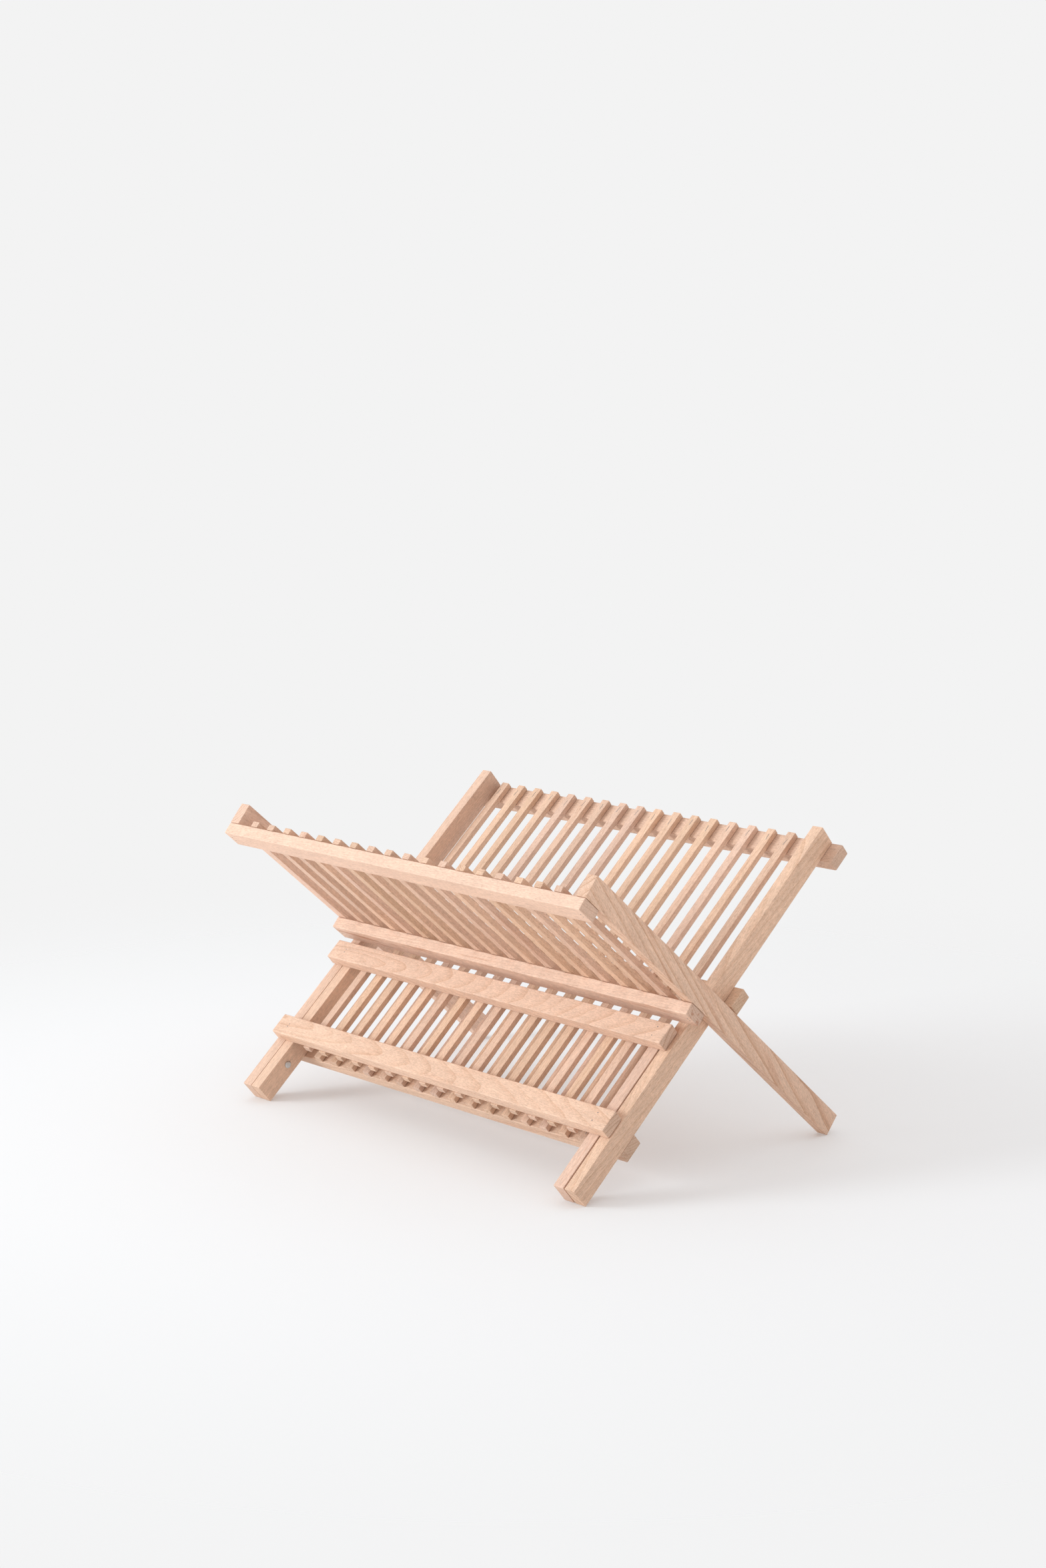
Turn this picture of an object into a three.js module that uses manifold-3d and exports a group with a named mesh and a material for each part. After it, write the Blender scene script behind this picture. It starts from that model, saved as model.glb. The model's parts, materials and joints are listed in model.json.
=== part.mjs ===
// Folding beech dish rack: two slatted frames crossing in an X, and a hinged flap at the front.
// Millimetres, +Z up. X runs along the rack and Y from front to back. The origin is on the
// table, straight below the main pivot.
//
// Each frame is drawn lying flat in its own group: X across, Y up along its rails and Z out of
// its front side. The group is then tilted to the angle at which the rack stands.

import * as THREE from 'three';
import * as BufferGeometryUtils from 'three/addons/utils/BufferGeometryUtils.js';
import Module from 'manifold-3d';

const wasm = await Module();
wasm.setup();

// ---------------------------------------------------------------- driving dimensions

const rackLength = 445;
const legAngle = THREE.MathUtils.degToRad(40.5);

// One section of planed strip makes every rail and every crossbar.
const stripThickness = 11;
const stripDepth = 20;
const halfRail = 194.5;

const slatWidth = 8.2;
const slatThickness = 5.3;
const slatPitch = 22.4;

const glueGap = 0.3;
const railGap = 0.4;
const flapGap = 1;

// The bottom bars' lower edges and the flap's pins, measured up the rail from its foot.
const lowBarHeight = 52.5;
const flapPinHeight = 35;
const flapTopGap = 33;
const flapSlatOverhang = 1;

// The flap sits a little to the left between the back rails, and its top bar further still.
const flapShift = -0.5;
const flapBarInset = 1.2;
const flapTopBarShift = -3;
const middleBarShort = 1.8;

const frameSlatShift = 1;
const flapSlatShift = -1.5;
const frameSlats = 18;
const flapSlats = 16;

const pinRadius = 2;
const holeRadius = 2.1;
const pinHeadRadius = 3.25;
const pinHeadHeight = 1.2;
const pinHeadEdge = 0.66;
const pinHeadShoulderRadius = 2.6;
const pinHeadShoulder = 1.08;
const pinHeadCrownRadius = 1.3;
const pinHeadStandoff = 0.25;
const pinTipGap = 0.4;
const pivotHoleDepth = 8;
const flapHoleDepth = 7;
const holeOverrun = 1;
const roundSides = 24;

// The short tenons that carry the flap's top bar: their side, length and depth margins.
const tenonSideMargin = 1;
const tenonEndMargin = 2;
const tenonBite = 1;

// ---------------------------------------------------------------- worked out from them

const halfDepth = stripDepth / 2;
const halfLength = rackLength / 2;
const pivotHeight = halfRail * Math.sin(legAngle) + halfDepth * Math.cos(legAngle);

const frontRailInner = halfLength - stripThickness;
const backRailOuter = frontRailInner - railGap;
const backRailInner = backRailOuter - stripThickness;
const flapRailOuter = backRailInner - flapGap;
const flapRailInner = flapRailOuter - stripThickness;

// A middle bar's inner corner stops against the other frame's rails when the rack stands open.
const crossing = 2 * legAngle;
const barReach = halfDepth + glueGap + stripThickness;
const middleBarStart = (halfDepth + glueGap + barReach * Math.cos(crossing)) / Math.sin(crossing);

const lowBarStart = lowBarHeight - halfRail;
const topBarStart = halfRail - stripDepth;
const flapPinAt = flapPinHeight - halfRail;
const flapTop = -flapTopGap;

// ---------------------------------------------------------------- materials

const wood = (color) => new THREE.MeshStandardMaterial({ color, roughness: 0.62, metalness: 0 });
const railWood = wood('#dcb592');
const barWood = wood('#e8caaf');
const slatWood = wood('#e3c0a0');
const flapWood = wood('#e6c6a8');
const steel = new THREE.MeshStandardMaterial({ color: '#b9bcc0', roughness: 0.3, metalness: 1 });

// ---------------------------------------------------------------- shapes

// A box between two opposite corners.
function block([x0, y0, z0], [x1, y1, z1]) {
  const geometry = new THREE.BoxGeometry(x1 - x0, y1 - y0, z1 - z0);
  geometry.translate((x0 + x1) / 2, (y0 + y1) / 2, (z0 + z1) / 2);
  return geometry;
}

// A round rod along X, from x0 to x1, at height y up the frame.
function rod(radius, x0, x1, y) {
  const geometry = new THREE.CylinderGeometry(radius, radius, Math.abs(x1 - x0), roundSides);
  geometry.rotateZ(Math.PI / 2);
  geometry.translate((x0 + x1) / 2, y, 0);
  return geometry;
}

function toSolid(geometry) {
  const bare = geometry.clone();
  bare.deleteAttribute('normal');
  bare.deleteAttribute('uv');
  const merged = BufferGeometryUtils.mergeVertices(bare, 1e-5);
  return new wasm.Manifold(new wasm.Mesh({
    numProp: 3,
    vertProperties: new Float32Array(merged.attributes.position.array),
    triVerts: new Uint32Array(merged.index.array),
  }));
}

function toGeometry(solid) {
  const { vertProperties, triVerts } = solid.getMesh();
  const geometry = new THREE.BufferGeometry();
  geometry.setAttribute('position', new THREE.BufferAttribute(vertProperties, 3));
  geometry.setIndex(new THREE.BufferAttribute(triVerts, 1));
  geometry.computeVertexNormals();
  return geometry;
}

function cut(geometry, tools) {
  return toGeometry(tools.reduce((solid, tool) => solid.subtract(toSolid(tool)), toSolid(geometry)));
}

function join(geometries) {
  return toGeometry(geometries.map(toSolid).reduce((all, next) => all.add(next)));
}

function addPiece(group, name, geometry, material) {
  const mesh = new THREE.Mesh(geometry, material);
  mesh.name = name;
  group.add(mesh);
}

// A rail on one side: inner and outer are distances from the middle of the rack.
function rail(side, inner, outer, start, end, holes) {
  const [x0, x1] = [side * inner, side * outer].sort((a, b) => a - b);
  return cut(block([x0, start, -halfDepth], [x1, end, halfDepth]), holes);
}

// A crossbar on the front (side 1) or the back (side -1) of its frame's rails.
function crossbar(side, x0, x1, start) {
  const near = side * (halfDepth + glueGap);
  const far = side * barReach;
  const [z0, z1] = [near, far].sort((a, b) => a - b);
  return block([x0, start, z0], [x1, start + stripDepth, z1]);
}

function slat(x, start, end, back) {
  return block([x - slatWidth / 2, start, back], [x + slatWidth / 2, end, back + slatThickness]);
}

const slatPlace = (index, count, shift) => (index - (count - 1) / 2) * slatPitch + shift;

const numbered = (name, index) => `${name}_${String(index + 1).padStart(2, '0')}`;

// A headed pin along X. Its head stands just off the inner face of the rail it goes through.
function pin(side, headFace, tip, y) {
  const shaft = tip - headFace + pinHeadStandoff;
  const profile = [
    [0, -shaft], [pinRadius, -shaft], [pinRadius, 0], [pinHeadRadius, 0],
    [pinHeadRadius, pinHeadEdge], [pinHeadShoulderRadius, pinHeadShoulder],
    [pinHeadCrownRadius, pinHeadHeight], [0, pinHeadHeight],
  ].map(([radius, height]) => new THREE.Vector2(radius, height));
  const geometry = new THREE.LatheGeometry(profile, roundSides);
  geometry.rotateZ(side * Math.PI / 2);
  geometry.translate(side * (headFace - pinHeadStandoff), y, 0);
  return geometry;
}

// ---------------------------------------------------------------- frames

function tiltedFrame(angle) {
  const group = new THREE.Group();
  group.position.set(0, 0, pivotHeight);
  group.rotation.x = angle;
  return group;
}

const sides = [['left', -1], ['right', 1]];

// The back frame leans from the front feet up to the back. Its bars are behind its rails. The
// top and middle bars reach out past the rails, so that the front frame's rails meet them. The
// outermost slats stop at the middle bar, because the flap's rails lie below it.
function buildBackFrame() {
  const frame = tiltedFrame(legAngle);
  for (const [word, side] of sides) {
    const pivotHole = rod(holeRadius, side * (backRailInner - holeOverrun),
      side * (backRailOuter + holeOverrun), 0);
    const flapHole = rod(holeRadius, side * (backRailInner - holeOverrun),
      side * (backRailInner + flapHoleDepth), flapPinAt);
    const geometry = rail(side, backRailInner, backRailOuter, -halfRail, halfRail,
      [pivotHole, flapHole]);
    addPiece(frame, `back_rail_${word}`, geometry, railWood);
    const pinTip = backRailInner + flapHoleDepth - pinTipGap;
    addPiece(frame, `flap_pin_${word}`,
      pin(side, flapRailInner + side * flapShift, pinTip, flapPinAt), steel);
  }
  addPiece(frame, 'back_bar_top', crossbar(-1, -halfLength, halfLength, topBarStart), barWood);
  addPiece(frame, 'back_bar_middle',
    crossbar(-1, -halfLength, halfLength - middleBarShort, middleBarStart), barWood);
  addPiece(frame, 'back_bar_bottom',
    crossbar(-1, -backRailOuter, backRailOuter, lowBarStart), barWood);
  for (let i = 0; i < frameSlats; i += 1) {
    const x = slatPlace(i, frameSlats, frameSlatShift);
    const clearsFlapRails = Math.abs(x) + slatWidth / 2 < flapRailInner;
    const start = clearsFlapRails ? lowBarStart : middleBarStart;
    addPiece(frame, numbered('back_slat', i), slat(x, start, halfRail, -halfDepth), slatWood);
  }
  return frame;
}

// The front frame leans from the rear feet up to the front. Its bars are under its rails, and
// its slats run from the top down to its middle bar, above the crossing.
function buildFrontFrame() {
  const frame = tiltedFrame(Math.PI - legAngle);
  for (const [word, side] of sides) {
    const pivotHole = rod(holeRadius, side * (frontRailInner - holeOverrun),
      side * (frontRailInner + pivotHoleDepth), 0);
    const geometry = rail(side, frontRailInner, halfLength, -halfRail, halfRail, [pivotHole]);
    addPiece(frame, `front_rail_${word}`, geometry, railWood);
    addPiece(frame, `pivot_pin_${word}`,
      pin(side, backRailInner, frontRailInner + pivotHoleDepth - pinTipGap, 0), steel);
  }
  addPiece(frame, 'front_bar_top', crossbar(1, -halfLength, halfLength, topBarStart), barWood);
  addPiece(frame, 'front_bar_middle',
    crossbar(1, -halfLength, halfLength, middleBarStart), barWood);
  for (let i = 0; i < frameSlats; i += 1) {
    const x = slatPlace(i, frameSlats, frameSlatShift);
    addPiece(frame, numbered('front_slat', i),
      slat(x, middleBarStart, halfRail, halfDepth - slatThickness), slatWood);
  }
  return frame;
}

// The flap lies in the lower half of the back frame, between its rails. Its two bars are on its
// front and rest on the back frame's rails. Its slats and top bar are one piece, a comb: a short
// tenon on each slat reaches into the bar.
function buildFlap() {
  const frame = tiltedFrame(legAngle);
  for (const [word, side] of sides) {
    const inner = flapRailInner + side * flapShift;
    const outer = flapRailOuter + side * flapShift;
    const pinHole = rod(holeRadius, side * (inner - holeOverrun), side * (outer + holeOverrun),
      flapPinAt);
    const geometry = rail(side, inner, outer, -halfRail, flapTop, [pinHole]);
    addPiece(frame, `flap_rail_${word}`, geometry, railWood);
  }
  const barEnd = backRailOuter - flapBarInset;
  addPiece(frame, 'flap_bar_lower', crossbar(1, -barEnd, barEnd, lowBarStart), flapWood);

  const topBar = crossbar(1, -barEnd + flapTopBarShift, barEnd + flapTopBarShift,
    flapTop - stripDepth);
  const comb = [topBar];
  const tenonHalf = slatWidth / 2 - tenonSideMargin;
  const tenonStart = flapTop - stripDepth + tenonEndMargin;
  const tenonEnd = flapTop - tenonEndMargin;
  for (let i = 0; i < flapSlats; i += 1) {
    const x = slatPlace(i, flapSlats, flapSlatShift);
    comb.push(slat(x, lowBarStart - flapSlatOverhang, flapTop, halfDepth - slatThickness));
    comb.push(block([x - tenonHalf, tenonStart, halfDepth - tenonBite],
      [x + tenonHalf, tenonEnd, halfDepth + glueGap + tenonBite]));
  }
  addPiece(frame, 'flap_comb', join(comb), flapWood);
  return frame;
}

const rack = new THREE.Group();
rack.add(buildBackFrame(), buildFrontFrame(), buildFlap());

export default rack;
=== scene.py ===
"""A folding beech dish rack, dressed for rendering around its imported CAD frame.

Metres, +Z up, +X to the right along the rack and +Y from front to back. The back frame, the front
frame and the flap are each flat: across (X), up the rails, and out of the frame's front side.
"""

import json
import math
import random

import bmesh
import bpy
from mathutils import Euler, Matrix, Vector


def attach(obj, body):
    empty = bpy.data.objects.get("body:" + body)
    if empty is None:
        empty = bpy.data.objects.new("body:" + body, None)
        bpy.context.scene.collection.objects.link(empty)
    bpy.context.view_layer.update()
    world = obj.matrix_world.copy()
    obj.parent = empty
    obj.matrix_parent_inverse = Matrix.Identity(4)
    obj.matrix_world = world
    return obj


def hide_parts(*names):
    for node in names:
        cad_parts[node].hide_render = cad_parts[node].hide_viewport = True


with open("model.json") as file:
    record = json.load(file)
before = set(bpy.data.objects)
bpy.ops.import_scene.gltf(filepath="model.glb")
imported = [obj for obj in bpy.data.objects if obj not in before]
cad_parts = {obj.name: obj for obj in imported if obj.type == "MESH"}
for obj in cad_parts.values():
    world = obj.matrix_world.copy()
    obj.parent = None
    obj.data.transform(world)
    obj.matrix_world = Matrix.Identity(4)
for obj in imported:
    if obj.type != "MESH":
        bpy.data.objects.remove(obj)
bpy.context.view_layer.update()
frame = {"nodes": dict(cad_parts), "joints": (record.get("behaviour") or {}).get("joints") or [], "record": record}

MM = 0.001

# ---------------------------------------------------------------- the three tilted frames

JOINTS = {joint["name"]: joint for joint in frame["joints"]}
PIVOT = Vector(JOINTS["main_fold"]["pos_m"])
BAR_FACE = next(m for m in frame["record"]["mounts"] if m["name"] == "back_bar_face")
LEAN = math.atan2(BAR_FACE["axis"][1], -BAR_FACE["axis"][2])


def tilted(angle):
    """Rows across, up the rails and out of the front, for a frame turned by angle about X."""
    return Matrix((
        (1, 0, 0),
        (0, math.cos(angle), math.sin(angle)),
        (0, -math.sin(angle), math.cos(angle)),
    ))


TURNS = {
    "back_frame": tilted(LEAN),
    "flap": tilted(LEAN),
    "front_frame": tilted(math.pi - LEAN),
}
BODIES = frame["record"]["behaviour"]["bodies"]
BODY_OF = {node: body for body, nodes in BODIES.items() for node in nodes}


def to_world(body, point):
    """A point of a frame's own flat drawing, in world coordinates."""
    return TURNS[body].transposed() @ Vector(point) + PIVOT


def flat_box(node):
    """The lowest and highest corner of a CAD node in its frame's own flat drawing."""
    turn = TURNS[BODY_OF[node]]
    points = [turn @ (v.co - PIVOT) for v in frame["nodes"][node].data.vertices]
    low = Vector([min(p[i] for p in points) for i in range(3)])
    high = Vector([max(p[i] for p in points) for i in range(3)])
    return low, high


# ---------------------------------------------------------------- node trees


def add_node(tree, kind, inputs=(), **settings):
    """A shader node with its settings, and its inputs either linked or set."""
    made = tree.nodes.new("ShaderNode" + kind)
    for key, value in settings.items():
        setattr(made, key, value)
    for key, value in dict(inputs).items():
        if isinstance(value, bpy.types.NodeSocket):
            tree.links.new(value, made.inputs[key])
        else:
            made.inputs[key].default_value = value
    return made


def calc(tree, operation, *values):
    return add_node(tree, "Math", enumerate(values), operation=operation).outputs[0]


def vector_calc(tree, operation, *values):
    """The result of a Vector Math node: a number for LENGTH, and a vector otherwise."""
    made = add_node(tree, "VectorMath", enumerate(values), operation=operation)
    return made.outputs["Value" if operation == "LENGTH" else "Vector"]


def scaled(tree, vector, factor):
    made = add_node(tree, "VectorMath", {0: vector, "Scale": factor}, operation="SCALE")
    return made.outputs["Vector"]


def step(tree, value, low, high):
    """0 below low and 1 above high, smooth between them."""
    made = add_node(tree, "MapRange", {"Value": value, "From Min": low, "From Max": high},
                    interpolation_type="SMOOTHSTEP")
    return made.outputs[0]


def spread(tree, value, low, high):
    """A value of 0 to 1 spread over low to high."""
    return add_node(tree, "MapRange", {"Value": value, "To Min": low, "To Max": high}).outputs[0]


def blend_colours(tree, factor, a, b):
    made = add_node(tree, "Mix", {0: factor, 6: a, 7: b}, data_type="RGBA")
    return made.outputs[2]


def noise(tree, vector, detail=2.0, roughness=0.5):
    made = add_node(tree, "TexNoise", {"Vector": vector, "Scale": 1.0, "Detail": detail,
                                       "Roughness": roughness})
    return made.outputs


def own_property(tree, name):
    """A property that each object sets for itself."""
    made = add_node(tree, "Attribute", attribute_type="OBJECT", attribute_name=name)
    return made.outputs["Vector"]


def parts_of(tree, vector):
    return add_node(tree, "SeparateXYZ", {0: vector}).outputs


def grained(tree, at, across, along):
    """Coordinates shrunk so that one unit is that many mm across and along the grain."""
    return vector_calc(tree, "MULTIPLY", at, (1 / across, 1 / along, 1 / across))


def waver(tree, at, across, along, reach):
    """A shift across the grain, up to half of reach, in waves of that size in mm."""
    wave = noise(tree, grained(tree, at, across, along))["Color"]
    half = -reach / 2
    return vector_calc(tree, "MULTIPLY_ADD", wave, (reach, 0, reach), (half, 0, half))


def around_one(tree, value, depth):
    """A value of 0 to 1 turned into a factor that varies around 1 by depth."""
    return calc(tree, "MULTIPLY_ADD", value, depth, 1 - depth / 2)


# ---------------------------------------------------------------- beech

PINK_BEECH = (0.694, 0.477, 0.368, 1)
TAN_BEECH = (0.698, 0.470, 0.326, 1)
LATE_WOOD = (0.76, 0.64, 0.54)
RAY_COLOUR = (0.66, 0.50, 0.40)
STREAK_COLOUR = (0.74, 0.56, 0.47)
END_RING = (0.72, 0.62, 0.55)
# Where the rays' arc is measured, in mm from the pith, and the thickness of a ray.
RAY_ARC = 60.0
RAY_WIDTH = 0.42
# The sizes of the grain's features across and along it, in mm.
PORE = (0.42, 4.5)
FIBRE = (0.9, 15)
THREAD = (0.62, 4.2)
CLOUD = (13, 85)
STREAK = (5.5, 95)
CURL = (7, 9)
END_DOTS = (0.5, 6)
# The rings' slow and quick waves: their size across and along the grain, and their reach, in mm.
WANDER = (34, 170, 7)
RIPPLE = (3.5, 22, 0.5)
# How strongly the fibres, the threads and the slow clouds vary the lightness, and pores darken it.
FIBRE_DEPTH = 0.46
THREAD_DEPTH = 0.90
CLOUD_DEPTH = 0.22
PORE_STRENGTH = 0.5
# By how many years the rings' spacing drifts, and how many of its waves there are to a year.
YEAR_UNEVENNESS = 1.6
YEAR_WAVES = 0.31
# How suddenly the late wood darkens, on long faces and on cut ends.
LATE_SHARPNESS = 3.2
END_SHARPNESS = 4.0
# The darkness of the palest and the darkest year, on long faces and on cut ends.
YEAR_LOOKS = (0.45, 1.0)
END_LOOKS = (0.2, 0.8)
# How far the rays' sheets are torn out of line, in their own lengths, and how finely.
RAY_TEAR = (0.9, 0.5, 0.9)
RAY_TEAR_SCALE = 1.7
# Where a noise or a distance starts to count and where it counts in full.
RAY_CHOSEN = (0.55, 0.9)
RAY_CORE = (0.60, 0.15)
PORE_CHOSEN = (0.45, 0.75)
PORE_CORE = (0.42, 0.12)
STREAK_CHOSEN = (0.56, 0.70)
# How far a face has to turn toward the grain's direction to show end grain.
END_TURN = (0.6, 0.9)
# The lightness of end grain in its dots, and how much lighter it is between them.
END_DOT_TONE = 0.72
END_DOT_DEPTH = 0.5


def beech_group():
    """Solid beech around a pith: growth rings, rays, pores and slow changes of tone.

    Each object sets grain_turn and grain_move, which carry it into the log, where Y runs along
    the grain and the pith is the Y axis. grain_tone holds its lightness, its share of tan and
    the strength of its rings, grain_kind its ring width, its mottle and its brown streaks, and
    grain_rays how far its rays run out from the pith, how tall they are and how strong.
    grain_end is the lightness of its cut ends beside its long faces.
    """
    tree = bpy.data.node_groups.new("Beech", "ShaderNodeTree")
    for name, kind in (("Colour", "Color"), ("Roughness", "Float"), ("Height", "Float")):
        tree.interface.new_socket(name, in_out="OUTPUT", socket_type="NodeSocket" + kind)
    texture = add_node(tree, "TexCoord")
    turn = own_property(tree, "grain_turn")
    tone, tan, ring_strength = parts_of(tree, own_property(tree, "grain_tone"))
    ring_width, mottle, streak_strength = parts_of(tree, own_property(tree, "grain_kind"))
    ray_reach, ray_height, ray_strength = parts_of(tree, own_property(tree, "grain_rays"))
    end_tone = add_node(tree, "Attribute", attribute_type="OBJECT",
                        attribute_name="grain_end").outputs["Fac"]
    at = add_node(tree, "Mapping", {
        "Vector": texture.outputs["Object"], "Scale": (1 / MM, 1 / MM, 1 / MM),
        "Rotation": turn, "Location": own_property(tree, "grain_move"),
    }).outputs[0]

    # Growth rings: the late wood darkens slowly to a sharp edge, more in some years than others.
    bent = vector_calc(tree, "ADD", at, waver(tree, at, *WANDER))
    bent = vector_calc(tree, "ADD", bent, waver(tree, at, *RIPPLE))
    radius = vector_calc(tree, "LENGTH", vector_calc(tree, "MULTIPLY", bent, (1, 0, 1)))
    years = calc(tree, "DIVIDE", radius, ring_width)
    uneven = add_node(tree, "TexNoise", {"W": years, "Scale": YEAR_WAVES, "Detail": 1.0},
                      noise_dimensions="1D").outputs[0]
    years = calc(tree, "MULTIPLY_ADD", uneven, YEAR_UNEVENNESS, years)
    season = calc(tree, "FRACT", years)
    late = calc(tree, "POWER", season, LATE_SHARPNESS)
    year_look = add_node(tree, "TexWhiteNoise", {"W": calc(tree, "FLOOR", years)},
                         noise_dimensions="1D").outputs["Value"]
    late = calc(tree, "MULTIPLY", late, spread(tree, year_look, *YEAR_LOOKS))
    late = calc(tree, "MULTIPLY", late, ring_strength)

    # Rays: thin sheets standing along the grain and out from the pith.
    x, y, z = parts_of(tree, bent)
    arc = calc(tree, "MULTIPLY", calc(tree, "ARCTAN2", z, x), RAY_ARC / RAY_WIDTH)
    sheets = add_node(tree, "CombineXYZ", {
        0: calc(tree, "DIVIDE", radius, ray_reach), 1: arc, 2: calc(tree, "DIVIDE", y, ray_height),
    }).outputs[0]
    ragged = noise(tree, scaled(tree, sheets, RAY_TEAR_SCALE), detail=1.0)["Color"]
    sheets = vector_calc(tree, "MULTIPLY_ADD", ragged, RAY_TEAR, sheets)
    cell = add_node(tree, "TexVoronoi", {"Vector": sheets, "Scale": 1.0})
    chosen = step(tree, parts_of(tree, cell.outputs["Color"])[0], *RAY_CHOSEN)
    core = step(tree, cell.outputs["Distance"], *RAY_CORE)
    ray = calc(tree, "MULTIPLY", calc(tree, "MULTIPLY", chosen, core), ray_strength)

    # Pores are hair lines along the grain; fibres, threads and clouds vary its lightness.
    pore_cell = add_node(tree, "TexVoronoi", {"Vector": grained(tree, at, *PORE), "Scale": 1.0})
    pore_core = step(tree, pore_cell.outputs["Distance"], *PORE_CORE)
    pore_chosen = step(tree, parts_of(tree, pore_cell.outputs["Color"])[1], *PORE_CHOSEN)
    pore = calc(tree, "MULTIPLY", pore_core, pore_chosen)
    fibre = noise(tree, grained(tree, at, *FIBRE), detail=3.0, roughness=0.7)["Fac"]
    thread = noise(tree, grained(tree, at, *THREAD), detail=3.0, roughness=0.75)["Fac"]
    cloud = noise(tree, grained(tree, at, *CLOUD))["Fac"]

    # Brown streaks that run far along the grain.
    apart = vector_calc(tree, "ADD", grained(tree, at, *STREAK), (31, 7, 13))
    streak = noise(tree, apart)["Fac"]
    streak = calc(tree, "MULTIPLY", step(tree, streak, *STREAK_CHOSEN), streak_strength)

    colour = blend_colours(tree, tan, PINK_BEECH, TAN_BEECH)
    pore_mark = calc(tree, "MULTIPLY", pore, PORE_STRENGTH)
    for mask, tint in ((late, LATE_WOOD), (streak, STREAK_COLOUR), (ray, RAY_COLOUR),
                       (pore_mark, RAY_COLOUR)):
        colour = blend_colours(tree, mask, colour,
                               vector_calc(tree, "MULTIPLY", colour, tint))
    value = around_one(tree, fibre, FIBRE_DEPTH)
    value = calc(tree, "MULTIPLY", value, around_one(tree, thread, THREAD_DEPTH))
    value = calc(tree, "MULTIPLY", value, around_one(tree, cloud, CLOUD_DEPTH))
    # Wavy figure: soft patches a few mm long that catch the light differently.
    apart = vector_calc(tree, "ADD", grained(tree, at, *CURL), (5, 17, 3))
    curl = noise(tree, apart)["Fac"]
    curl = calc(tree, "MULTIPLY", calc(tree, "SUBTRACT", curl, 0.5), mottle)
    value = calc(tree, "MULTIPLY", value, calc(tree, "ADD", curl, 1.0))
    colour = scaled(tree, colour, calc(tree, "MULTIPLY", value, tone))

    # End grain is darker, and its pores are dots.
    facing = add_node(tree, "Mapping", {"Vector": texture.outputs["Normal"], "Rotation": turn},
                      vector_type="VECTOR").outputs[0]
    end = step(tree, calc(tree, "ABSOLUTE", parts_of(tree, facing)[1]), *END_TURN)
    dots = noise(tree, grained(tree, at, *END_DOTS), roughness=0.7)["Fac"]
    end_shade = calc(tree, "MULTIPLY_ADD", dots, END_DOT_DEPTH, END_DOT_TONE)
    end_tint = scaled(tree, colour, calc(tree, "MULTIPLY", end_shade, end_tone))
    end_line = calc(tree, "MULTIPLY", calc(tree, "POWER", season, END_SHARPNESS),
                    spread(tree, year_look, *END_LOOKS))
    end_tint = blend_colours(tree, end_line, end_tint,
                             vector_calc(tree, "MULTIPLY", end_tint, END_RING))
    colour = blend_colours(tree, end, colour, end_tint)

    rough = calc(tree, "MULTIPLY_ADD", fibre, 0.18, 0.50)
    rough = calc(tree, "MULTIPLY_ADD", late, -0.06, rough)
    rough = calc(tree, "MULTIPLY_ADD", end, 0.12, rough)
    height = calc(tree, "MULTIPLY_ADD", pore, -0.6, calc(tree, "MULTIPLY", fibre, 0.5))
    height = calc(tree, "MULTIPLY_ADD", late, 0.25, height)
    height = calc(tree, "MULTIPLY_ADD", calc(tree, "MULTIPLY", end, dots), 0.8, height)
    out = tree.nodes.new("NodeGroupOutput")
    tree.links.new(colour, out.inputs["Colour"])
    tree.links.new(rough, out.inputs["Roughness"])
    tree.links.new(height, out.inputs["Height"])
    return tree


def fresh_material(name):
    """A new material with its node tree and its shader."""
    material = bpy.data.materials.new(name)
    material.use_nodes = True
    tree = material.node_tree
    return material, tree, tree.nodes["Principled BSDF"]


BEECH = beech_group()
GRAIN_RELIEF = 0.12 * MM


def beech_material(name):
    material, tree, shader = fresh_material(name)
    wood = tree.nodes.new("ShaderNodeGroup")
    wood.node_tree = BEECH
    relief = add_node(tree, "Bump", {"Height": wood.outputs["Height"], "Strength": 0.5,
                                     "Distance": GRAIN_RELIEF})
    tree.links.new(wood.outputs["Colour"], shader.inputs["Base Color"])
    tree.links.new(wood.outputs["Roughness"], shader.inputs["Roughness"])
    tree.links.new(relief.outputs[0], shader.inputs["Normal"])
    shader.inputs["Specular IOR Level"].default_value = 0.35
    return material


# How many patches of polish, and how many scratches side by side, there are to a metre.
PATCHES = 900.0
SCRATCHES = 9000.0


def steel_material(name, colour, low, high):
    """Steel with fine scratches and a polish that varies from low to high roughness."""
    material, tree, shader = fresh_material(name)
    at = add_node(tree, "TexCoord").outputs["Object"]
    patches = noise(tree, scaled(tree, at, PATCHES))["Fac"]
    drawn_out = vector_calc(tree, "MULTIPLY", at, (PATCHES, SCRATCHES, SCRATCHES))
    scratches = noise(tree, drawn_out)["Fac"]
    tint = blend_colours(tree, patches, colour, tuple(0.8 * c for c in colour[:3]) + (1,))
    tree.links.new(tint, shader.inputs["Base Color"])
    tree.links.new(spread(tree, patches, low, high), shader.inputs["Roughness"])
    relief = add_node(tree, "Bump", {"Height": scratches, "Strength": 0.2, "Distance": 0.02 * MM})
    tree.links.new(relief.outputs[0], shader.inputs["Normal"])
    shader.inputs["Metallic"].default_value = 1.0
    return material


MATERIALS = {
    "beech_rail": beech_material("beech_rail"),
    "beech_bar": beech_material("beech_bar"),
    "beech_slat": beech_material("beech_slat"),
    "steel_pin": steel_material("steel_pin", (0.62, 0.62, 0.61, 1), 0.22, 0.42),
    "steel_wire": steel_material("steel_wire", (0.30, 0.29, 0.28, 1), 0.35, 0.6),
}

# ---------------------------------------------------------------- the log each piece is cut from

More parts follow.
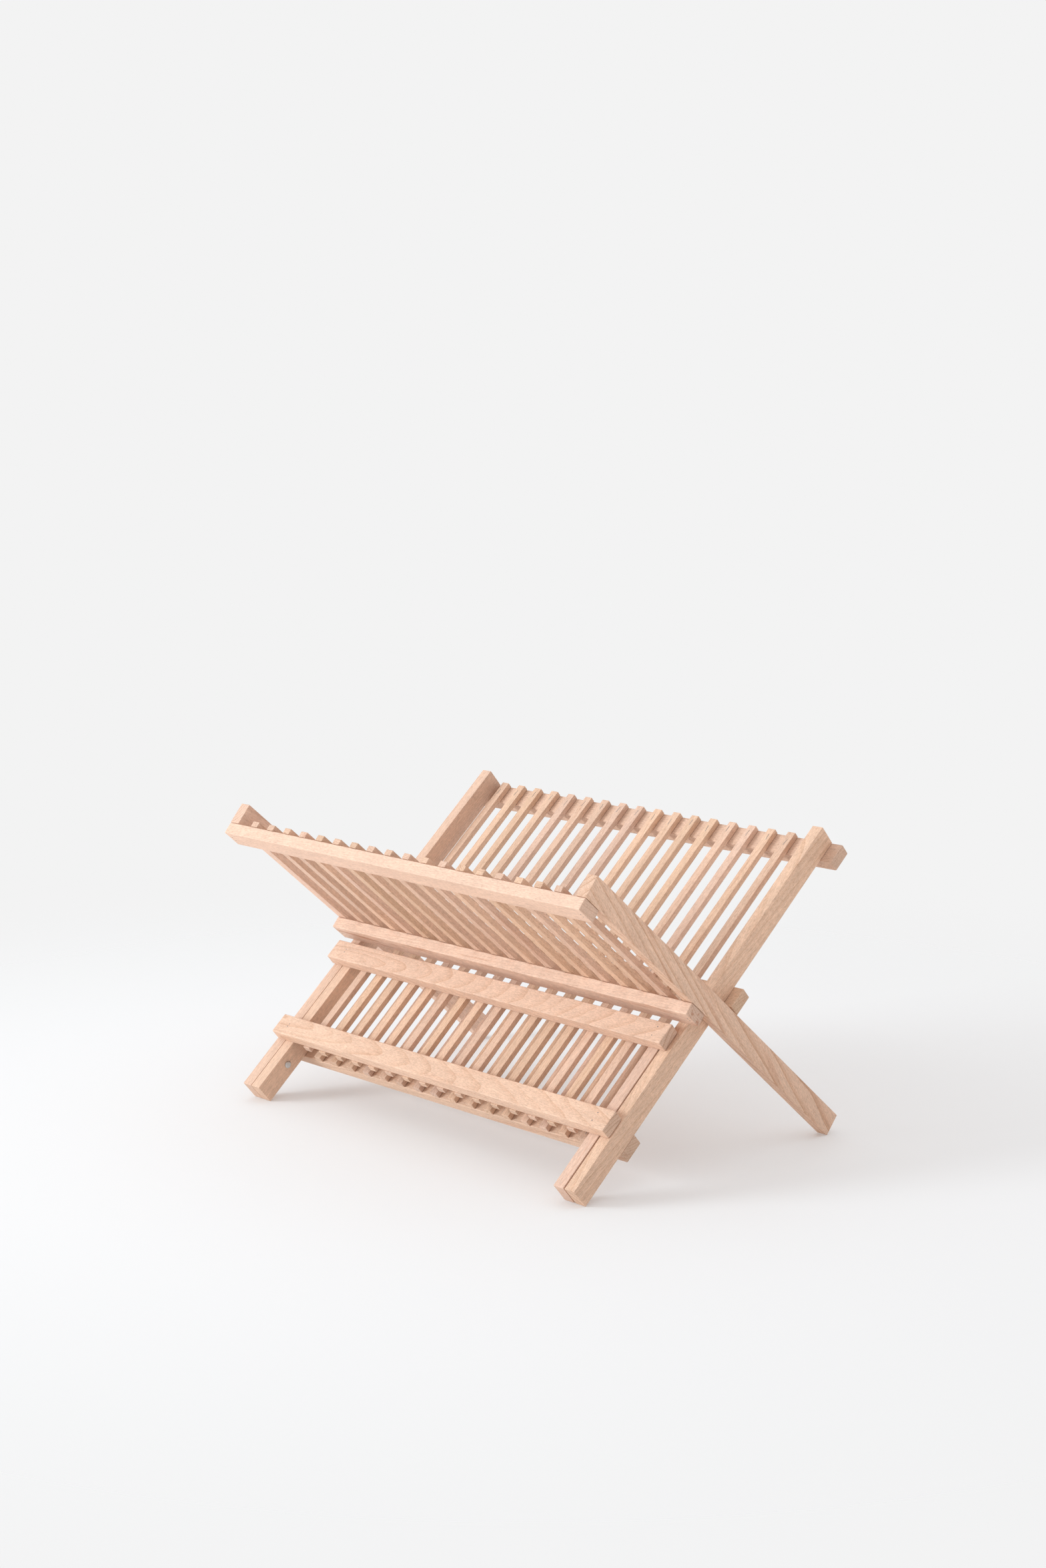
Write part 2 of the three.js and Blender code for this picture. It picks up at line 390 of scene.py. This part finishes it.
# pith is the way to the pith, in degrees from across to out of the frame, and depth how far off
# it is in mm. slope and tip are how far the grain runs off the piece's own length, in degrees:
# slope in the frame's plane and tip out of it. The rest are as beech_group says.
LOOKS = {
    "front_rail_right": {"pith": 34, "depth": 150, "slope": 1.0, "tip": 15, "rings": 1.3,
                         "width": 4.6, "rays": 0.35, "tan": 0.5, "tone": 1.0},
    "front_rail_left": {"pith": 18, "slope": 1.5, "tip": 1.0, "rings": 0.40, "width": 3.0},
    "back_rail_right": {"pith": 60, "depth": 60, "slope": 0.5, "tip": 7, "rings": 0.6,
                        "width": 5.0, "rays": 0.5, "reach": 2.6, "tan": 0.7, "tone": 1.0},
    "back_rail_left": {"pith": 75, "slope": 1.2, "tip": 0.5, "rings": 0.30, "tan": 0.3},
    "back_bar_top": {"pith": 90, "slope": 0.8, "tip": 0.5, "rings": 0.15, "rays": 0.85,
                     "reach": 3.6, "height": 0.7, "tan": 0.35},
    "front_bar_top": {"pith": 80, "slope": 0.7, "tip": 0.3, "rings": 0.10, "tone": 1.03,
                      "tan": 0.2, "rays": 0.2, "mottle": 0.14},
    "front_bar_middle": {"pith": 97, "depth": 40, "slope": 1.6, "tip": 2, "rings": 0.35,
                         "streaks": 0.9, "tan": 0.15, "rays": 0.15, "mottle": 0.3},
    "flap_bar_top": {"pith": 84, "depth": 26, "slope": -3, "tip": 10, "rings": 0.65, "width": 3.8,
                     "tan": 0.3, "tone": 1.02},
    "flap_bar_lower": {"pith": 98, "depth": 24, "slope": 3, "tip": 6, "rings": 0.6, "width": 3.6,
                       "streaks": 0.2, "tan": 0.5, "mottle": 0.16, "tone": 1.02},
    "flap_rail_right": {"pith": 10, "slope": 1.4, "tip": 0.5, "rings": 0.3, "tan": 0.0,
                        "tone": 0.97},
    "flap_rail_left": {"pith": 60, "slope": 0.8, "tip": 0.5, "rings": 0.2, "tan": 0.6},
}
# The slats are a little darker than the frames they are fixed to: partly their own tone, and partly painted shade
# for the shade that falls in the gaps between them.
SLAT_TONE_AND_PAINTED_SHADE = 0.98
# The lightness of cut ends beside the long faces, on crossbars and on the pieces that stand.
BAR_END_TONE = 0.90
STANDING_END_TONE = 0.97
# How far along the log a piece may be cut, in mm.
LOG_REACH = 900


def set_grain(piece, body, low, high, along_x):
    """Gives a piece its own place in a log, with low and high its corners in the flat drawing."""
    rng = random.Random(piece.name)
    look = {
        "pith": rng.uniform(0, 360), "depth": rng.uniform(25, 95),
        "slope": rng.choice((0.5, -1.0, 1.5, -3.0, 5.0)),
        "tip": rng.choice((0.5, -1.0, 2.0, -4.0, 8.0)), "tone": rng.uniform(0.92, 1.06),
        "tan": rng.uniform(0.0, 1.0), "rings": rng.uniform(0.15, 0.6),
        "width": rng.uniform(1.6, 3.4), "rays": rng.uniform(0.15, 0.5),
        "reach": rng.uniform(1.2, 2.4), "height": rng.uniform(1.0, 2.2),
        "streaks": rng.choice((0, 0, 0, 0.35)), "mottle": rng.choice((0.04, 0.06, 0.1, 0.2)),
    }
    look.update(LOOKS.get(piece.name, {}))
    turn = TURNS[body]
    if along_x:
        turn = Matrix((-turn[1], turn[0], turn[2]))
    runoff = Euler((math.radians(look["tip"]), 0, math.radians(look["slope"])))
    turn = runoff.to_matrix() @ turn
    depth = look["depth"]
    way = math.radians(look["pith"])
    along = rng.uniform(-LOG_REACH, LOG_REACH)
    place = Vector((depth * math.cos(way), along, depth * math.sin(way)))
    centre = to_world(body, (low + high) / 2) / MM
    piece["grain_turn"] = list(turn.to_euler())
    piece["grain_move"] = list(place - turn @ centre)
    # Slats are darkened partly for their own tone and partly as painted shade for the gaps between them.
    tone = look["tone"] * SLAT_TONE_AND_PAINTED_SHADE if "slat" in piece.name else look["tone"]
    piece["grain_tone"] = [tone, look["tan"], look["rings"]]
    piece["grain_kind"] = [look["width"], look["mottle"], look["streaks"]]
    piece["grain_rays"] = [look["reach"], look["height"], look["rays"]]
    piece["grain_end"] = BAR_END_TONE if along_x else STANDING_END_TONE


# ---------------------------------------------------------------- edges and small unevenness

SWAY = bpy.data.textures.new("sway", "CLOUDS")
SWAY.noise_scale = 20 * MM
SWAY.noise_depth = 0
# The steepest turn between two faces that is still left sharp, in degrees.
SHARP_TURN = 35


def soften(piece, radius, drift):
    """Rounds a piece's edges, and moves its ends a little sideways as a hand-set piece's are."""
    weld = piece.modifiers.new("weld", "WELD")
    weld.merge_threshold = 0.01 * MM
    if drift:
        shift = piece.modifiers.new("drift", "DISPLACE")
        shift.texture = SWAY
        shift.texture_coords = "LOCAL"
        shift.direction = "X"
        shift.strength = drift
    edge = piece.modifiers.new("edges", "BEVEL")
    edge.width = radius
    edge.segments = 3
    edge.limit_method = "ANGLE"
    edge.angle_limit = math.radians(SHARP_TURN)
    piece.modifiers.new("shade", "WEIGHTED_NORMAL")


def smooth(mesh):
    mesh.polygons.foreach_set("use_smooth", [True] * len(mesh.polygons))


def block(name, body, low, high):
    """A plain block between two corners of a frame's flat drawing."""
    corners = [to_world(body, (x, y, z)) for x in (low[0], high[0]) for y in (low[1], high[1])
               for z in (low[2], high[2])]
    faces = [(0, 1, 3, 2), (4, 6, 7, 5), (0, 4, 5, 1), (2, 3, 7, 6), (0, 2, 6, 4), (1, 5, 7, 3)]
    mesh = bpy.data.meshes.new(name)
    mesh.from_pydata(corners, [], faces)
    mesh.update()
    piece = bpy.data.objects.new(name, mesh)
    bpy.context.scene.collection.objects.link(piece)
    return piece


# How round each kind of piece's edges are, and how far its ends may drift sideways.
EDGE = {"beech_rail": 0.45 * MM, "beech_bar": 0.9 * MM, "beech_slat": 0.35 * MM}
DRIFT = {"beech_rail": 0.0, "beech_bar": 0.0, "beech_slat": 0.9 * MM}


def finish_wood(piece, body, slot, low, high, along_x):
    """Gives a wooden piece its material, its rounded edges and its grain."""
    piece.data.materials.clear()
    piece.data.materials.append(MATERIALS[slot])
    smooth(piece.data)
    soften(piece, EDGE[slot], DRIFT[slot])
    set_grain(piece, body, low, high, along_x)


SLOT_OF = {part["node"]: part["material_slot"] for part in frame["record"]["subparts"]}
for node, piece in frame["nodes"].items():
    slot = SLOT_OF[node]
    if node == "flap_comb":
        continue
    if slot == "steel_pin":
        piece.data.materials.clear()
        piece.data.materials.append(MATERIALS[slot])
        continue
    low, high = flat_box(node)
    finish_wood(piece, BODY_OF[node], slot, low, high, "bar" in node)

# ---------------------------------------------------------------- the flap's top bar and slats

back_low, back_high = flat_box("back_slat_05")
SLAT_WIDTH = back_high.x - back_low.x
SLAT_THICKNESS = back_high.z - back_low.z
RAIL_FRONT = flat_box("back_rail_left")[1].z
BAR_BACK = flat_box("flap_bar_lower")[0].z
FLAP_SLATS = 16

comb_low, comb_high = flat_box("flap_comb")
bar_low, bar_high = flat_box("flap_bar_lower")
bar_depth = bar_high.y - bar_low.y
comb_points = [TURNS["flap"] @ (v.co - PIVOT) for v in frame["nodes"]["flap_comb"].data.vertices]
slat_xs = [p.x for p in comb_points if p.y < comb_low.y + MM]
first_x, last_x = min(slat_xs), max(slat_xs)
top_low = Vector((comb_low.x, comb_high.y - bar_depth, BAR_BACK))


def flap_slat_box(i):
    """The box of one of the flap's slats in its flat drawing, counted from the left."""
    x = first_x + (last_x - first_x - SLAT_WIDTH) * i / (FLAP_SLATS - 1)
    low = Vector((x, comb_low.y, RAIL_FRONT - SLAT_THICKNESS))
    return low, Vector((x + SLAT_WIDTH, comb_high.y, RAIL_FRONT))


flap_top = block("flap_bar_top", "flap", top_low, comb_high)
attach(flap_top, "flap")
finish_wood(flap_top, "flap", "beech_bar", top_low, comb_high, True)
for i in range(FLAP_SLATS):
    low, high = flap_slat_box(i)
    slat = block(f"flap_slat_{i + 1:02d}", "flap", low, high)
    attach(slat, "flap")
    finish_wood(slat, "flap", "beech_slat", low, high, False)
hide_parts("flap_comb")

# ---------------------------------------------------------------- staples and nails

STAPLE_LENGTH = 6.8 * MM
WIRE_RADIUS = 0.32 * MM
WIRE_SINK = 0.14 * MM
WIRE_SIDES = 6
# How deep a staple's legs and shoulders go below the face and how long its bends are, in radii of
# the wire, and how squarely each ring of the wire faces out of the wood.
STAPLE_LEG = 3.0
STAPLE_SHOULDER = 1.2
STAPLE_BEND = 0.7
STAPLE_LEANS = (0, 0.35, 0.9, 1, 0.9, 0.35, 0)
NAIL_RADIUS = 0.58 * MM
NAIL_SIDES = 10
# A nail head's rings from the rim inward: the share of its radius and the height over the wood.
NAIL_RINGS = ((1.0, -0.3 * MM), (1.0, 0.03 * MM), (0.72, 0.09 * MM))


def skin(points, faces, rings, sides):
    """Adds a closed surface through rings of points, one after another."""
    first = len(points)
    for ring in rings:
        points.extend(ring)
    for row in range(len(rings) - 1):
        for k in range(sides):
            a = first + row * sides + k
            b = first + row * sides + (k + 1) % sides
            faces.append((a, b, b + sides, a + sides))
    last = first + (len(rings) - 1) * sides
    faces.append(tuple(range(first + sides - 1, first - 1, -1)))
    faces.append(tuple(range(last, last + sides)))


def add_staple(points, faces, centre, angle, out):
    """A staple's crown lying on a face, with both ends turned down into the wood."""
    along = Vector((math.sin(angle), math.cos(angle), 0))
    side = Vector((along.y, -along.x, 0))
    up = Vector((0, 0, out))
    half = STAPLE_LENGTH / 2
    bend = half - STAPLE_BEND * WIRE_RADIUS
    leg = -STAPLE_LEG * WIRE_RADIUS
    shoulder = -STAPLE_SHOULDER * WIRE_RADIUS
    path = ((-half, leg), (-half, shoulder), (-bend, -WIRE_SINK), (0, -WIRE_SINK),
            (bend, -WIRE_SINK), (half, shoulder), (half, leg))
    rings = []
    for (reach, lift), lean in zip(path, STAPLE_LEANS):
        middle = centre + along * reach + up * lift
        away = along * math.copysign(math.sqrt(1 - lean * lean), reach)
        outward = up * lean + away
        turns = [2 * math.pi * (k + 0.5) / WIRE_SIDES for k in range(WIRE_SIDES)]
        rings.append([middle + (side * math.cos(turn) + outward * math.sin(turn)) * WIRE_RADIUS
                      for turn in turns])
    skin(points, faces, rings, WIRE_SIDES)


def add_nail(points, faces, centre, out):
    """A small round nail head, a little proud of the wood."""
    turns = [2 * math.pi * k / NAIL_SIDES for k in range(NAIL_SIDES)]
    rings = [[centre + Vector((share * NAIL_RADIUS * math.cos(turn),
                               share * NAIL_RADIUS * math.sin(turn), out * lift))
              for turn in turns] for share, lift in NAIL_RINGS]
    skin(points, faces, rings, NAIL_SIDES)


def add_metal(name, body, points, faces):
    """One piece from points of a frame's flat drawing, its faces turned outward."""
    mesh = bpy.data.meshes.new(name)
    mesh.from_pydata([to_world(body, p) for p in points], [], faces)
    shape = bmesh.new()
    shape.from_mesh(mesh)
    bmesh.ops.recalc_face_normals(shape, faces=shape.faces)
    shape.to_mesh(mesh)
    shape.free()
    smooth(mesh)
    mesh.materials.append(MATERIALS["steel_wire"])
    piece = bpy.data.objects.new(name, mesh)
    bpy.context.scene.collection.objects.link(piece)
    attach(piece, body)


def bar_centre(node):
    low, high = flat_box(node)
    return (low.y + high.y) / 2


FLAP_TOP_CENTRE = comb_high.y - bar_depth / 2
BARS = {
    "back_frame": [bar_centre(f"back_bar_{word}") for word in ("top", "middle", "bottom")],
    "front_frame": [bar_centre(f"front_bar_{word}") for word in ("top", "middle")],
    "flap": [FLAP_TOP_CENTRE, bar_centre("flap_bar_lower")],
}
# The face each frame's staples lie on, and the side of the wood that it is on.
STAPLED_SIDE = {
    "back_frame": (flat_box("back_slat_05")[1].z, 1),
    "front_frame": (flat_box("front_slat_05")[0].z, -1),
    "flap": (RAIL_FRONT - SLAT_THICKNESS, -1),
}
# The bars' outer face, its side, and how far the two nails of an end are from the middle line.
NAILED_SIDE = {
    "back_frame": (flat_box("back_bar_top")[0].z, -1, (2.2, 3.4)),
    "front_frame": (flat_box("front_bar_top")[1].z, 1, (2.4, 2.0)),
    "flap": (bar_high.z, 1, (1.9, 4.4)),
}


def slat_boxes(body):
    """The boxes of a frame's slats in its flat drawing."""
    if body == "flap":
        return [flap_slat_box(i) for i in range(FLAP_SLATS)]
    return [flat_box(node) for node in frame["nodes"] if "slat" in node and BODY_OF[node] == body]


# How far a staple or a nail may be from its place, sideways and up the rails, in mm.
STAPLE_SIDE = 1.1
STAPLE_RISE = (-2.0, 2.5)
NAIL_SIDE = 0.7
NAIL_RISE = 0.6
# A staple's usual turn from straight up the rails and its spread, in degrees.
STAPLE_TURN = (2, 5)
# How far the nails are toward the outside from the middle of the rail, in mm.
NAIL_OUTWARD = 1.2


def fasten(body, rail):
    """A frame's staples and nails: staples over every bar, and nails into both its rails."""
    rng = random.Random(body)
    points, faces = [], []
    face, out = STAPLED_SIDE[body]
    for low, high in slat_boxes(body):
        for height in BARS[body]:
            if low.y < height < high.y:
                x = (low.x + high.x) / 2 + rng.uniform(-STAPLE_SIDE, STAPLE_SIDE) * MM
                centre = Vector((x, height + rng.uniform(*STAPLE_RISE) * MM, face))
                angle = math.radians(rng.gauss(*STAPLE_TURN))
                add_staple(points, faces, centre, angle, out)
    add_metal(f"staples_{body}", body, points, faces)
    points, faces = [], []
    face, out, apart = NAILED_SIDE[body]
    for word, half in zip(("left", "right"), apart):
        low, high = flat_box(f"{rail}_{word}")
        for height in BARS[body]:
            for way in (-1, 1):
                outward = math.copysign(NAIL_OUTWARD, low.x) + rng.uniform(-NAIL_SIDE, NAIL_SIDE)
                rise = way * half + rng.uniform(-NAIL_RISE, NAIL_RISE)
                place = ((low.x + high.x) / 2 + outward * MM, height + rise * MM, face)
                add_nail(points, faces, Vector(place), out)
    add_metal(f"nails_{body}", body, points, faces)


fasten("back_frame", "back_rail")
fasten("front_frame", "front_rail")
fasten("flap", "flap_rail")

# ---------------------------------------------------------------- floor, lights and camera

# The brightness seen past the floor, and how much of it shows through the floor's middle.
BACKGROUND = 0.896
FLOOR_CLEARNESS = 0.2
FLOOR_COLOUR = (0.840, 0.844, 0.850, 1)
FLOOR_RADIUS = 3.0
FLOOR_SIDES = 64
# The floor lies this far below the feet, so that the two never share a plane.
FLOOR_DROP = 0.2 * MM
# Between these distances from the middle the floor fades out into the background.
FADE = (0.35, 1.1)


def make_floor():
    """A pale round floor that catches the shadows and fades out round them."""
    mesh = bpy.data.meshes.new("floor")
    turns = [2 * math.pi * i / FLOOR_SIDES for i in range(FLOOR_SIDES)]
    ring = [(FLOOR_RADIUS * math.cos(turn), FLOOR_RADIUS * math.sin(turn), -FLOOR_DROP)
            for turn in turns]
    mesh.from_pydata(ring, [], [tuple(range(FLOOR_SIDES))])
    floor = bpy.data.objects.new("floor", mesh)
    bpy.context.scene.collection.objects.link(floor)
    material, tree, shader = fresh_material("pale_floor")
    at = add_node(tree, "TexCoord").outputs["Object"]
    far = step(tree, vector_calc(tree, "LENGTH", at), *FADE)
    clearness = spread(tree, far, FLOOR_CLEARNESS, 1.0)
    shader.inputs["Base Color"].default_value = FLOOR_COLOUR
    shader.inputs["Roughness"].default_value = 0.9
    shader.inputs["Specular IOR Level"].default_value = 0.1
    clear = tree.nodes.new("ShaderNodeBsdfTransparent")
    mix = add_node(tree, "MixShader", {0: clearness, 1: shader.outputs[0], 2: clear.outputs[0]})
    tree.links.new(mix.outputs[0], tree.nodes["Material Output"].inputs[0])
    mesh.materials.append(material)


def make_world(sky, ground):
    """Soft light from the room above and from the pale floor that runs on below."""
    world = bpy.data.worlds.new("studio")
    bpy.context.scene.world = world
    world.use_nodes = True
    tree = world.node_tree
    height = parts_of(tree, add_node(tree, "TexCoord").outputs["Generated"])[2]
    light = blend_colours(tree, step(tree, height, -0.05, 0.05), ground, sky)
    path = add_node(tree, "LightPath")
    seen = (BACKGROUND, BACKGROUND, BACKGROUND, 1)
    shown = blend_colours(tree, path.outputs["Is Camera Ray"], light, seen)
    tree.links.new(shown, tree.nodes["Background"].inputs["Color"])


def soft_box(name, place, aim, size, power, colour):
    """A rectangular lamp at place, turned toward aim, with its power in watts."""
    light = bpy.data.lights.new(name, "AREA")
    light.shape = "RECTANGLE"
    light.size, light.size_y = size
    light.energy = power
    light.color = colour
    lamp = bpy.data.objects.new(name, light)
    lamp.location = place
    lamp.rotation_euler = (Vector(aim) - Vector(place)).to_track_quat("-Z", "Y").to_euler()
    bpy.context.scene.collection.objects.link(lamp)


def make_camera(azimuth, elevation, distance, aim, lens):
    """A camera looking at aim, azimuth degrees round to the right of the front."""
    a, e = math.radians(azimuth), math.radians(elevation)
    back = Vector((math.sin(a) * math.cos(e), -math.cos(a) * math.cos(e), math.sin(e)))
    data = bpy.data.cameras.new("camera")
    data.sensor_width = 36.0
    data.lens = lens
    camera = bpy.data.objects.new("camera", data)
    camera.location = Vector(aim) + back * distance
    camera.rotation_euler = (-back).to_track_quat("-Z", "Y").to_euler()
    bpy.context.scene.collection.objects.link(camera)
    bpy.context.scene.camera = camera


make_floor()
make_world((0.65, 0.635, 0.64, 1), (1.28, 1.24, 1.20, 1))
soft_box("ceiling", (-0.1, 0.0, 1.7), (-0.1, 0, 0), (3.2, 3.2), 18.5, (1.0, 1.0, 0.98))
soft_box("front_left", (-2.0, -3.1, 1.05), (0, 0, 0.12), (1.3, 1.3), 113.0, (0.85, 0.935, 0.985))
make_camera(46.226, 9.498, 2.2, (-0.0033, -0.0045, 0.2959), 58.4)
bpy.context.scene.view_settings.view_transform = "Standard"
bpy.context.scene.view_settings.look = "None"
